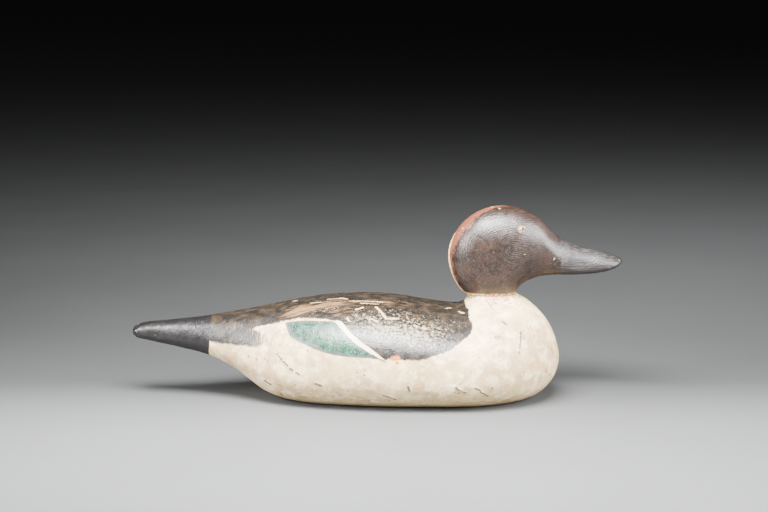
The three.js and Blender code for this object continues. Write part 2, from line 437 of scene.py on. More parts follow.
class Graph:
    """Adds nodes to a material or a group, and joins them."""

    def __init__(self, tree: bpy.types.NodeTree) -> None:
        """Starts work on a tree."""
        self.tree = tree

    def add(self, kind: str, **settings: object) -> bpy.types.Node:
        """Adds a node and sets its options."""
        node = self.tree.nodes.new(kind)
        for name, value in settings.items():
            setattr(node, name, value)
        return node

    def feed(self, socket: Socket, source: Source) -> None:
        """Joins a socket to another one, or gives it a plain value."""
        if isinstance(source, bpy.types.NodeSocket):
            self.tree.links.new(source, socket)
        else:
            socket.default_value = source

    def math(self, operation: str, *terms: Source, clamp: bool = False) -> Socket:
        """Works out one step of arithmetic."""
        node = self.add("ShaderNodeMath", operation=operation, use_clamp=clamp)
        for socket, term in zip(node.inputs, terms):
            self.feed(socket, term)
        return node.outputs[0]

    def times(self, *terms: Source) -> Socket:
        """Multiplies masks together."""
        product = terms[0]
        for term in terms[1:]:
            product = self.math("MULTIPLY", product, term)
        return product

    def plus(self, *terms: Source) -> Socket:
        """Adds values up."""
        total = terms[0]
        for term in terms[1:]:
            total = self.math("ADD", total, term)
        return total

    def highest(self, masks: list) -> Socket:
        """Lays masks over each other and keeps the strongest at each place."""
        top = masks[0]
        for mask in masks[1:]:
            top = self.math("MAXIMUM", top, mask)
        return top

    def without(self, mask: Socket, hidden: Socket) -> Socket:
        """Takes one mask out of another."""
        return self.times(mask, self.math("SUBTRACT", 1.0, hidden))

    def vector(self, operation: str, *terms: Source) -> bpy.types.Node:
        """Works out one step on vectors."""
        node = self.add("ShaderNodeVectorMath", operation=operation)
        for socket, term in zip(node.inputs, terms):
            self.feed(socket, term)
        return node

    def scaled(self, vector: Source, scale: Source) -> Socket:
        """Makes a vector longer or shorter."""
        node = self.vector("SCALE", vector)
        self.feed(node.inputs["Scale"], scale)
        return node.outputs[0]

    def part(self, vector: Socket, axis: str) -> Socket:
        """Takes the X, Y or Z of a vector."""
        node = self.add("ShaderNodeSeparateXYZ")
        self.feed(node.inputs[0], vector)
        return node.outputs[axis]

    def rise(self, value: Source, low: Source, high: Source) -> Socket:
        """Rises smoothly from 0 at low to 1 at high."""
        node = self.add("ShaderNodeMapRange", interpolation_type="SMOOTHSTEP")
        self.feed(node.inputs["Value"], value)
        self.feed(node.inputs["From Min"], low)
        self.feed(node.inputs["From Max"], high)
        return node.outputs["Result"]

    def blend(self, share: Source, first: Source, second: Source) -> Socket:
        """Mixes two colours, from the first at 0 to the second at 1."""
        node = self.add("ShaderNodeMix", data_type="RGBA")
        self.feed(node.inputs["Factor"], share)
        for socket, color in zip([s for s in node.inputs if s.type == "RGBA"], (first, second)):
            self.feed(socket, color if isinstance(color, bpy.types.NodeSocket) else (*color, 1.0))
        return next(s for s in node.outputs if s.type == "RGBA")

    def level(self, share: Source, first: Source, second: Source) -> Socket:
        """Mixes two values, from the first at 0 to the second at 1."""
        node = self.add("ShaderNodeMix", data_type="FLOAT")
        self.feed(node.inputs[0], share)
        self.feed(node.inputs[2], first)
        self.feed(node.inputs[3], second)
        return node.outputs[0]

    def noise(self, vector: Source, size: Source, detail: float, roughness: float = 0.55) -> bpy.types.Node:
        """Reads smooth noise, from 0 to 1, that changes over a distance of size."""
        node = self.add("ShaderNodeTexNoise", noise_dimensions="3D")
        self.feed(node.inputs["Vector"], vector)
        self.feed(node.inputs["Scale"], self.math("DIVIDE", 1.0, size))
        node.inputs["Detail"].default_value = detail
        node.inputs["Roughness"].default_value = roughness
        return node

    def shaken(self, vector: Socket, size: Source, reach: Source) -> Socket:
        """Moves a place a little, up to half of reach, by noise that changes over a distance of size."""
        drift = self.noise(vector, size, 1.0).outputs["Color"]
        shift = self.vector("SUBTRACT", drift, (0.5, 0.5, 0.5)).outputs[0]
        return self.vector("ADD", vector, self.scaled(shift, reach)).outputs[0]

    def combined(self, x: Source, y: Source, z: Source) -> Socket:
        """Makes a vector of three values."""
        node = self.add("ShaderNodeCombineXYZ")
        for socket, value in zip(node.inputs, (x, y, z)):
            self.feed(socket, value)
        return node.outputs[0]

    def attribute(self, name: str) -> bpy.types.Node:
        """Reads a value that the mesh carries."""
        return self.add("ShaderNodeAttribute", attribute_name=name)

    def place(self) -> Socket:
        """Gives the place on the object, in millimetres."""
        return self.scaled(self.add("ShaderNodeTexCoord").outputs["Object"], 1 / MM)


class Effect:
    """A node group that is built once and placed in any material with its own values."""

    NAME = ""
    INPUTS: tuple = ()

    @staticmethod
    def draw(graph: Graph, given: bpy.types.NodeOutputs) -> Socket:
        """Makes the effect's nodes and gives their result."""
        raise NotImplementedError

    @classmethod
    def group(cls) -> bpy.types.NodeTree:
        """Finds the group, or builds it the first time."""
        if cls.NAME in bpy.data.node_groups:
            return bpy.data.node_groups[cls.NAME]
        tree = bpy.data.node_groups.new(cls.NAME, "ShaderNodeTree")
        for name in cls.INPUTS:
            kind = "NodeSocketVector" if name == "Vector" else "NodeSocketFloat"
            tree.interface.new_socket(name, in_out="INPUT", socket_type=kind)
        tree.interface.new_socket("Mask", in_out="OUTPUT", socket_type="NodeSocketFloat")
        graph = Graph(tree)
        given = graph.add("NodeGroupInput").outputs
        graph.feed(graph.add("NodeGroupOutput").inputs["Mask"], cls.draw(graph, given))
        return tree

    @classmethod
    def on(cls, graph: Graph, **values: Source) -> Socket:
        """Places the effect in a material, with its inputs by name."""
        node = graph.add("ShaderNodeGroup", node_tree=cls.group())
        for name, value in values.items():
            graph.feed(node.inputs[name.capitalize()], value)
        return node.outputs["Mask"]


class Clouds(Effect):
    """Uneven patches of a given size, such as stains and thin paint."""

    NAME = "Clouds"
    INPUTS = ("Vector", "Size", "Low", "High")

    @staticmethod
    def draw(graph: Graph, given: bpy.types.NodeOutputs) -> Socket:
        """Cuts fine-edged noise between two levels."""
        return graph.rise(graph.noise(given["Vector"], given["Size"], 3.0).outputs[0], given["Low"], given["High"])


class Flecks(Effect):
    """Scattered flecks, such as chips, pits and specks of dirt."""

    NAME = "Flecks"
    INPUTS = ("Vector", "Size", "Share")

    @staticmethod
    def draw(graph: Graph, given: bpy.types.NodeOutputs) -> Socket:
        """Fills a share of uneven cells with a ragged dot each."""
        torn = graph.shaken(given["Vector"], graph.times(given["Size"], 0.38), graph.times(given["Size"], 0.9))
        cells = graph.add("ShaderNodeTexVoronoi", feature="F1")
        graph.feed(cells.inputs["Vector"], torn)
        graph.feed(cells.inputs["Scale"], graph.math("DIVIDE", 1.0, given["Size"]))
        chance = graph.add("ShaderNodeSeparateColor")
        graph.feed(chance.inputs[0], cells.outputs["Color"])
        radius = graph.math("MULTIPLY_ADD", chance.outputs[1], 0.26, 0.12)
        dot = graph.rise(cells.outputs["Distance"], radius, graph.math("MULTIPLY", radius, 0.55))
        return graph.times(dot, graph.math("LESS_THAN", chance.outputs[0], given["Share"]))


class RaggedEdge(Effect):
    """The edge of a painted or worn area, torn by an uneven amount."""

    NAME = "Ragged edge"
    INPUTS = ("Depth", "Vector", "Size", "Reach", "Softness")

    @staticmethod
    def draw(graph: Graph, given: bpy.types.NodeOutputs) -> Socket:
        """Moves the edge in and out by noise and softens it."""
        torn = graph.math("SUBTRACT", graph.noise(given["Vector"], given["Size"], 3.0, 0.65).outputs[0], 0.5)
        depth = graph.math("MULTIPLY_ADD", torn, graph.times(given["Reach"], 2.0), given["Depth"])
        return graph.rise(depth, graph.times(given["Softness"], -1.0), given["Softness"])


class BrushMarks(Effect):
    """The ridges that a brush leaves along the first axis."""

    NAME = "Brush marks"
    INPUTS = ("Vector", "Length", "Width")

    @staticmethod
    def draw(graph: Graph, given: bpy.types.NodeOutputs) -> Socket:
        """Stretches noise along the stroke."""
        size = graph.combined(given["Length"], given["Width"], given["Width"])
        return graph.noise(graph.vector("DIVIDE", given["Vector"], size).outputs[0], 1.0, 2.0).outputs[0]


class Stroke(Effect):
    """One straight scratch, gouge or crack on the skin."""

    NAME = "Stroke"
    INPUTS = ("Along", "Down", "Start along", "Start down", "Run along", "Run down", "Share", "Width")

    @staticmethod
    def draw(graph: Graph, given: bpy.types.NodeOutputs) -> Socket:
        """Measures the distance from the stroke's line."""
        along = graph.math("SUBTRACT", given["Along"], given["Start along"])
        down = graph.math("SUBTRACT", given["Down"], given["Start down"])
        reached = graph.math("MULTIPLY_ADD", along, given["Run along"], graph.times(down, given["Run down"]))
        share = graph.math("MULTIPLY", reached, given["Share"], clamp=True)
        side_along = graph.math("SUBTRACT", along, graph.times(given["Run along"], share))
        side_down = graph.math("SUBTRACT", down, graph.times(given["Run down"], share))
        square = graph.math("MULTIPLY_ADD", side_along, side_along, graph.times(side_down, side_down))
        return graph.rise(graph.math("SQRT", square), given["Width"], graph.times(given["Width"], 0.35))

    @classmethod
    def of(cls, graph: Graph, skin: tuple, score: Score) -> Socket:
        """Draws one of the body's scores on its skin, given as its distances along and down."""
        start, run = score.start, (score.end[0] - score.start[0], score.end[1] - score.start[1])
        values = (*skin, *start, *run, 1 / max(run[0] ** 2 + run[1] ** 2, 1e-6), score.width)
        return cls.on(graph, **dict(zip(cls.INPUTS, values)))

    @classmethod
    def over(cls, graph: Graph, skin: tuple, scores: tuple) -> Socket:
        """Draws several of the body's scores on its skin, each laid over the last."""
        mask = cls.of(graph, skin, scores[0])
        for score in scores[1:]:
            mask = graph.math("MAXIMUM", mask, cls.of(graph, skin, score))
        return mask


class GrowthLines(Effect):
    """The fine ridges of the wood's growth layers, where they come out through the paint."""

    NAME = "Growth lines"
    INPUTS = ("Vector", "Depth", "Size")

    @staticmethod
    def draw(graph: Graph, given: bpy.types.NodeOutputs) -> Socket:
        """Turns a depth in the wood into waves of a given size."""
        wobble = graph.times(graph.math("SUBTRACT", graph.noise(given["Vector"], 4.5, 2.0).outputs[0], 0.5), 2.4)
        turns = graph.math("DIVIDE", graph.plus(given["Depth"], wobble), given["Size"])
        wave = graph.math("SINE", graph.times(turns, math.tau))
        return graph.math("MULTIPLY_ADD", wave, 0.5, 0.5)


def new_material(name: str) -> tuple:
    """Makes a material and gives it with a graph on its nodes and its shader."""
    material = bpy.data.materials.new(name)
    material.use_nodes = True
    graph = Graph(material.node_tree)
    return material, graph, material.node_tree.nodes["Principled BSDF"]


def finish_shader(graph: Graph, shader: bpy.types.Node, color: Source, roughness: Source, height: Source) -> None:
    """Feeds a shader its colour and roughness, and its height in millimetres as bump."""
    graph.feed(shader.inputs["Base Color"], color)
    graph.feed(shader.inputs["Roughness"], roughness)
    bump = graph.add("ShaderNodeBump")
    bump.inputs["Strength"].default_value = 1.0
    bump.inputs["Distance"].default_value = MM
    graph.feed(bump.inputs["Height"], height)
    graph.feed(shader.inputs["Normal"], bump.outputs[0])


# The painted areas of the body's skin, in millimetres
TAIL_PAINT = Patch((((-20, -60), (71, -60)), ((71, -60), (71.5, 33), (70, 47), (70, 160)), ((70, 160), (-20, 160)),
                    ((-20, 160), (-20, -60))))
BACK_PAINT = Patch((
    ((60, -60), (302, -60)),
    ((302, -60), (303, 8), (305, 26), (305.5, 44)),
    ((305.5, 44), (308, 50), (306, 60), (297, 67), (287, 76), (269, 85), (261, 89), (240, 91), (226, 91)),
    ((226, 91), (215, 84), (203, 75), (194, 64), (188, 52)),
    ((188, 52), (184, 49.5), (171, 44.5), (152, 38.5), (140, 36)),
    ((140, 36), (131, 36), (119, 34), (109, 34), (102, 36), (90, 40), (73, 33), (60, 28)),
    ((60, 28), (60, -60)),
))
BAND_PAINT = Patch((
    ((66, 20), (104, 26)),
    ((104, 26), (113, 35), (125, 45), (138, 50), (150, 54)),
    ((150, 54), (150, 61)),
    ((150, 61), (141, 61), (128, 56), (109, 49), (90, 41), (73, 34)),
    ((73, 34), (66, 20)),
))
WING_PATCH = Patch((
    ((141, 39), (152, 41), (171, 47), (184, 51), (187.5, 54)),
    ((187.5, 54), (194, 64), (203, 75), (215, 84), (226, 91)),
    ((226, 91), (209, 89), (190, 85), (174, 78), (165, 72), (153, 62), (146, 55), (142.5, 46), (141, 39)),
))
WING_STRIPE = Patch((
    ((186, 49.5), (191, 52), (198, 63), (207, 73), (218, 82), (229, 91)),
    ((229, 91), (226, 91), (215, 84), (203, 75), (194, 64), (187.5, 54), (186, 49.5)),
))

# Where the dark paint is thin or worn, on both sides
BROWN_WEAR = (
    Spot((176, 24), (34, 9)), Spot((150, 30), (16, 6), 0.8), Spot((223, 76), (18, 6), 0.7),
    Spot((198, 40), (26, 8), 0.5), Spot((232, 22), (20, 5), 0.5), Spot((262, 16), (20, 5), 0.5),
)
# Partly worn chalk-pale paint and partly a painted sheen: a pale highlight laid into the colour where the top box's
# light glances off the back's side.
CHALKY_WEAR_AND_SHEEN = (
    Spot((222, 62), (34, 14), 0.75), Spot((258, 68), (30, 16), 0.6), Spot((282, 52), (26, 20), 0.45),
    Spot((205, 46), (16, 8), 0.5), Spot((243, 40), (30, 12), 0.45), Spot((176, 34), (24, 5), 0.7),
)
GREY_WEAR = (
    Spot((318, 64), (9, 6), 0.8), Spot((331, 70), (8, 7), 0.9), Spot((322, 79), (9, 5), 0.8),
    Spot((335, 83), (6, 4), 0.8), Spot((316, 46), (12, 6), 0.7), Spot((330, 50), (9, 4), 0.5),
)
DIRT = (
    Spot((148, 103), (9, 6)), Spot((250, 86), (16, 3.5), 1.2), Spot((297, 111), (8, 5)), Spot((317, 119), (8, 6)),
    Spot((327, 113), (6, 4)), Spot((172, 122), (26, 4), 0.8), Spot((352, 66), (9, 14), 0.7), Spot((135, 62), (8, 6), 0.5),
    Spot((363, 25), (9, 7), 1.2), Spot((300, 90), (18, 7), 0.6), Spot((214, 103), (12, 6), 0.5),
    Spot((112, 70), (16, 10), 0.5), Spot((370, 55), (16, 20), 0.3),
)
GOUGES = (
    Score((229, 125), (239, 130), 1.3, 0.7), Score((168, 105), (174, 109), 1.0, 0.6),
    Score((122, 86), (128, 93), 1.1, 0.5), Score((136, 108), (138, 113), 1.4, 0.6),
    Score((153, 118), (160, 120), 1.0, 0.5), Score((292, 109), (294, 111), 1.7, 0.8),
    Score((294, 111), (301, 114.5), 0.8, 0.5), Score((309, 114), (314, 118), 0.9, 0.4),
    Score((314, 119), (321, 125), 1.0, 0.5), Score((250, 114), (251, 118), 1.5, 0.4),
    Score((293, 128), (320, 135), 0.7, 0.3), Score((350, 58), (348.5, 74), 1.0, 0.8),
    Score((347.5, 78), (348, 79), 1.4, 0.4), Score((334, 53), (337, 56), 1.3, 0.5),
    Score((379, 37), (380, 38), 1.3, 0.4), Score((373, 66), (374, 68), 1.0, 0.3),
    Score((134, 66), (138.5, 73), 0.8, 0.4), Score((140, 75), (143.5, 80), 1.1, 0.5),
    Score((145.5, 83), (148, 86), 1.1, 0.5), Score((151, 89), (154, 92), 0.9, 0.4),
    Score((219, 87), (230, 93), 0.8, 0.2), Score((321, 23), (324.5, 30), 0.7, 0.4),
    Score((328, 25), (324.5, 30), 0.6, 0.4), Score((324.5, 30), (327, 35), 0.5, 0.3),
    Score((329, 27), (329.6, 27.4), 1.2, 0.3), Score((342, 27), (342.6, 27.4), 1.2, 0.3),
)
SCRATCHES = (
    Score((198, 20.5), (228, 22), 0.8), Score((222, 33), (231, 50), 1.6), Score((231, 50), (241, 49), 1.4),
    Score((204, 37), (210, 34), 1.4), Score((256, 55), (258, 56), 1.5), Score((263, 56), (266, 57), 1.4),
    Score((285, 17), (289, 14), 1.2), Score((190, 12), (196, 15), 1.3), Score((146, 1), (150, 2.5), 1.1),
    Score((296, 23), (300, 27), 1.5), Score((216, 50), (223, 54), 1.1), Score((196, 48), (198, 52), 1.1),
    Score((178, 12), (190, 13), 0.8), Score((208, 26), (224, 27), 0.6), Score((162, 17), (172, 18), 0.7),
)
ORANGE_CHIP = (Score((236.5, 90), (241, 89), 3.2), Score((240, 93), (241, 93.5), 1.8))


class BodyTone(Enum):
    """The body's plain paint and wood colours; the chalk pale also serves as a painted sheen."""

    CREAM = (0.60, 0.44, 0.225)
    CREAM_PALE = (0.78, 0.66, 0.42)
    CREAM_DEEP = (0.42, 0.29, 0.14)
    CREAM_PINK = (0.55, 0.33, 0.19)
    CREAM_YELLOW = (0.52, 0.37, 0.13)
    DIRT = (0.045, 0.026, 0.013)
    DARK = (0.009, 0.0075, 0.006)
    UMBER = (0.03, 0.02, 0.012)
    TAN = (0.17, 0.095, 0.045)
    CHALK_AND_SHEEN = (0.34, 0.27, 0.18)
    TAIL = (0.007, 0.006, 0.006)
    GREEN = (0.012, 0.085, 0.045)
    GREEN_DEEP = (0.006, 0.026, 0.016)
    GREEN_PALE = (0.10, 0.24, 0.14)
    GREY = (0.09, 0.085, 0.085)
    ORANGE = (0.55, 0.13, 0.035)
    ORANGE_DEEP = (0.33, 0.10, 0.035)
    WOOD = (0.30, 0.15, 0.06)


@dataclass(frozen=True)
class BodyPaint:
    """Old oil paint on the body: cream below, dark above, and a green patch on each wing."""

    cream_roughness: float = 0.55
    dark_roughness: float = 0.36
    green_roughness: float = 0.33

    def cream_layer(self, graph: Graph, place: Socket, skin: Socket, dirt: Socket) -> Socket:
        """Gives the colour of the cream paint, with its stains, thin places and dirt."""
        tone = graph.blend(Clouds.on(graph, vector=place, size=26.0, low=0.36, high=0.62),
                           BodyTone.CREAM_DEEP.value, BodyTone.CREAM.value)
        pale = graph.times(Clouds.on(graph, vector=place, size=9.0, low=0.42, high=0.66), 0.8)
        tone = graph.blend(pale, tone, BodyTone.CREAM_PALE.value)
        shifted = graph.vector("ADD", place, (310.0, 90.0, 40.0)).outputs[0]
        pink = graph.times(Clouds.on(graph, vector=shifted, size=15.0, low=0.5, high=0.72), 0.75)
        tone = graph.blend(pink, tone, BodyTone.CREAM_PINK.value)
        shifted = graph.vector("ADD", place, (-130.0, 410.0, 70.0)).outputs[0]
        yellow = graph.times(Clouds.on(graph, vector=shifted, size=13.0, low=0.54, high=0.72), 0.6)
        tone = graph.blend(yellow, tone, BodyTone.CREAM_YELLOW.value)
        mottle = graph.times(Clouds.on(graph, vector=place, size=2.6, low=0.5, high=0.68), 0.5)
        tone = graph.blend(mottle, tone, BodyTone.CREAM_DEEP.value)
        streaks = BrushMarks.on(graph, vector=self.crosswise(graph, skin), length=14.0, width=1.5)
        tone = graph.blend(graph.times(graph.rise(streaks, 0.55, 0.75), 0.4), tone, BodyTone.CREAM_DEEP.value)
        # Yellower and darker towards the bottom, in uneven clouds.
        low = graph.times(graph.rise(graph.part(place, "Z"), 24.0, 3.0),
                          Clouds.on(graph, vector=place, size=11.0, low=0.3, high=0.75))
        tone = graph.blend(graph.times(low, 0.55), tone, BodyTone.CREAM_YELLOW.value)
        return graph.blend(dirt, tone, BodyTone.DIRT.value)

    def dirt(self, graph: Graph, place: Socket) -> Socket:
        """Gives where dark specks and dirt sit on the cream paint."""
        dirty = graph.attribute("dirt").outputs["Fac"]
        low = graph.times(graph.rise(graph.part(place, "Z"), 16.0, 2.0), 0.10)
        coarse = Flecks.on(graph, vector=place, size=3.6, share=graph.plus(graph.times(dirty, 0.42), low, 0.035))
        fine = Flecks.on(graph, vector=place, size=1.7, share=graph.plus(graph.times(dirty, 0.4), low, 0.07))
        return graph.times(graph.highest([coarse, graph.times(fine, 0.75)]), 0.85)

    def crosswise(self, graph: Graph, skin: Socket) -> Socket:
        """Turns the skin's place by a quarter, for strokes that run down the side."""
        return graph.combined(graph.part(skin, "Y"), graph.part(skin, "X"), 0.0)

    def dark_layer(self, graph: Graph, place: Socket, skin: Socket) -> Socket:
        """Gives the colour of the dark paint, brown where it has worn, and chalk-pale where it has worn and where a
        painted sheen stands in for the top box's highlight.
        """
        brown = graph.attribute("brown wear").outputs["Fac"]
        chalky = graph.attribute("chalky wear and sheen").outputs["Fac"]
        tone = graph.blend(Clouds.on(graph, vector=place, size=8.0, low=0.4, high=0.7),
                           BodyTone.DARK.value, BodyTone.UMBER.value)
        strokes = BrushMarks.on(graph, vector=skin, length=16.0, width=1.6)
        rubbed = graph.rise(graph.plus(strokes, graph.times(brown, 0.32)), 0.66, 0.86)
        tone = graph.blend(graph.times(rubbed, 0.9), tone, BodyTone.TAN.value)
        # Painted sheen mixed with chalk-pale wear: the pale mottle spreads where the top box's highlight falls.
        thin = Clouds.on(graph, vector=place, size=2.4, low=graph.math("MULTIPLY_ADD", chalky, -0.42, 0.74),
                         high=graph.math("MULTIPLY_ADD", chalky, -0.34, 0.96))
        return graph.blend(graph.times(thin, 0.8), tone, BodyTone.CHALK_AND_SHEEN.value)

    def green_layer(self, graph: Graph, place: Socket, skin: Socket) -> Socket:
        """Gives the colour of the wing patch, grey where it has rubbed thin at its edges."""
        depth = graph.attribute("wing").outputs["Fac"]
        tone = graph.blend(Clouds.on(graph, vector=place, size=7.0, low=0.38, high=0.66),
                           BodyTone.GREEN_DEEP.value, BodyTone.GREEN.value)
        low = graph.rise(graph.part(skin, "Y"), 60.0, 74.0)
        specks = graph.times(Clouds.on(graph, vector=place, size=1.5, low=0.52, high=0.7), low)
        tone = graph.blend(graph.times(specks, 0.7), tone, BodyTone.GREEN_PALE.value)
        strokes = BrushMarks.on(graph, vector=self.crosswise(graph, skin), length=9.0, width=1.3)
        tone = graph.blend(graph.times(graph.rise(strokes, 0.55, 0.8), 0.35), tone, BodyTone.GREY.value)
        worn = RaggedEdge.on(graph, depth=graph.math("SUBTRACT", 2.6, depth), vector=place, size=4.0, reach=4.0,
                             softness=1.2)
        return graph.blend(graph.times(worn, 0.5), tone, BodyTone.GREY.value)

    def build(self) -> bpy.types.Material:
        """Makes the material."""
        material, graph, shader = new_material("body paint")
        place = graph.place()
        skin = graph.attribute("skin").outputs["Vector"]
        loose = graph.shaken(skin, 2.2, 2.2)
        dirt = self.dirt(graph, place)
        color = self.cream_layer(graph, place, skin, dirt)

        grey = graph.attribute("grey wear").outputs["Fac"]
        scuffed = Clouds.on(graph, vector=place, size=3.0, low=graph.math("MULTIPLY_ADD", grey, -0.4, 0.78),
                            high=graph.math("MULTIPLY_ADD", grey, -0.3, 0.98))
        color = graph.blend(graph.times(scuffed, 0.75), color, BodyTone.GREY.value)

        back = RaggedEdge.on(graph, depth=graph.attribute("back").outputs["Fac"], vector=place, size=3.6, reach=2.4,
                             softness=0.9)
        tail = RaggedEdge.on(graph, depth=graph.attribute("tail").outputs["Fac"], vector=place, size=3.0, reach=0.9,
                             softness=0.4)
        band = RaggedEdge.on(graph, depth=graph.attribute("band").outputs["Fac"], vector=place, size=5.0, reach=2.5,
                             softness=1.6)
        bristles = BrushMarks.on(graph, vector=self.crosswise(graph, skin), length=12.0, width=1.2)
        fading = graph.rise(graph.part(skin, "X"), 152.0, 92.0)
        laid = graph.rise(graph.plus(fading, graph.times(graph.math("SUBTRACT", bristles, 0.5), 1.3)), 0.2, 0.72)
        dark = graph.highest([back, tail, graph.times(band, laid)])
        color = graph.blend(dark, color, self.dark_layer(graph, place, skin))
        color = graph.blend(tail, color, BodyTone.TAIL.value)

        wing = RaggedEdge.on(graph, depth=graph.attribute("wing").outputs["Fac"], vector=place, size=2.5, reach=0.5,
                             softness=0.35)
        stripe = RaggedEdge.on(graph, depth=graph.attribute("stripe").outputs["Fac"], vector=place, size=2.5,
                               reach=0.5, softness=0.4)
        color = graph.blend(wing, color, self.green_layer(graph, place, skin))
        color = graph.blend(graph.times(stripe, 0.95), color, BodyTone.CREAM_PALE.value)

        rim = graph.attribute("rim").outputs["Fac"]
        broken = Clouds.on(graph, vector=place, size=4.2, low=0.42, high=0.58)
        crust = graph.times(graph.rise(rim, 5.5, 0.5), broken)
        color = graph.blend(graph.times(crust, 0.8), color, BodyTone.WOOD.value)

        loose_lines = graph.part(loose, "X"), graph.part(loose, "Y")
        scratches = Stroke.over(graph, loose_lines, SCRATCHES)
        gouges = Stroke.over(graph, loose_lines, GOUGES)
        chip = Stroke.over(graph, loose_lines, ORANGE_CHIP)
        color = graph.blend(graph.times(scratches, 0.85), color, BodyTone.CREAM.value)
        color = graph.blend(graph.times(gouges, 0.9), color, BodyTone.DIRT.value)
        orange = graph.blend(Clouds.on(graph, vector=place, size=2.0, low=0.4, high=0.6),
                             BodyTone.ORANGE_DEEP.value, BodyTone.ORANGE.value)
        color = graph.blend(chip, color, orange)

        roughness = graph.level(dark, self.cream_roughness, self.dark_roughness)
        roughness = graph.level(wing, roughness, self.green_roughness)
        rubbed = graph.times(graph.math("SUBTRACT", Clouds.on(graph, vector=place, size=6.0, low=0.3, high=0.7), 0.5), 0.14)
        grain = graph.times(graph.noise(place, 1.3, 2.0).outputs[0], 0.16)
        lumps = graph.times(graph.noise(place, 4.5, 2.0).outputs[0], 0.30)
        ridges = graph.times(bristles, 0.10)
        pits = graph.times(dirt, -0.22)
        layer = graph.times(graph.highest([dark, wing]), 0.08)
        height = graph.plus(grain, lumps, ridges, pits, layer)
        finish_shader(graph, shader, color, graph.plus(roughness, rubbed), height)
        return material


class HeadTone(Enum):
    """The head's plain paint and wood colours; the mauve also serves as a painted sheen, and the darkest bill grey as
    painted shade.
    """

    BROWN = (0.024, 0.0125, 0.0085)
    BROWN_DEEP = (0.010, 0.006, 0.004)
    MAUVE_AND_SHEEN = (0.05, 0.034, 0.033)
    BILL = (0.045, 0.040, 0.038)
    BILL_DARK_AND_SHADE = (0.010, 0.009, 0.009)
    RED = (0.13, 0.035, 0.015)
    CREAM = (0.55, 0.38, 0.20)
    ORANGE = (0.35, 0.13, 0.05)


EYE = (129.7, 157.6)
EYE_RADIUS = 3.6
BILL_PAINT_X = HEAD_REAR_X + 101.0
FOOT_CRUST = 2.2


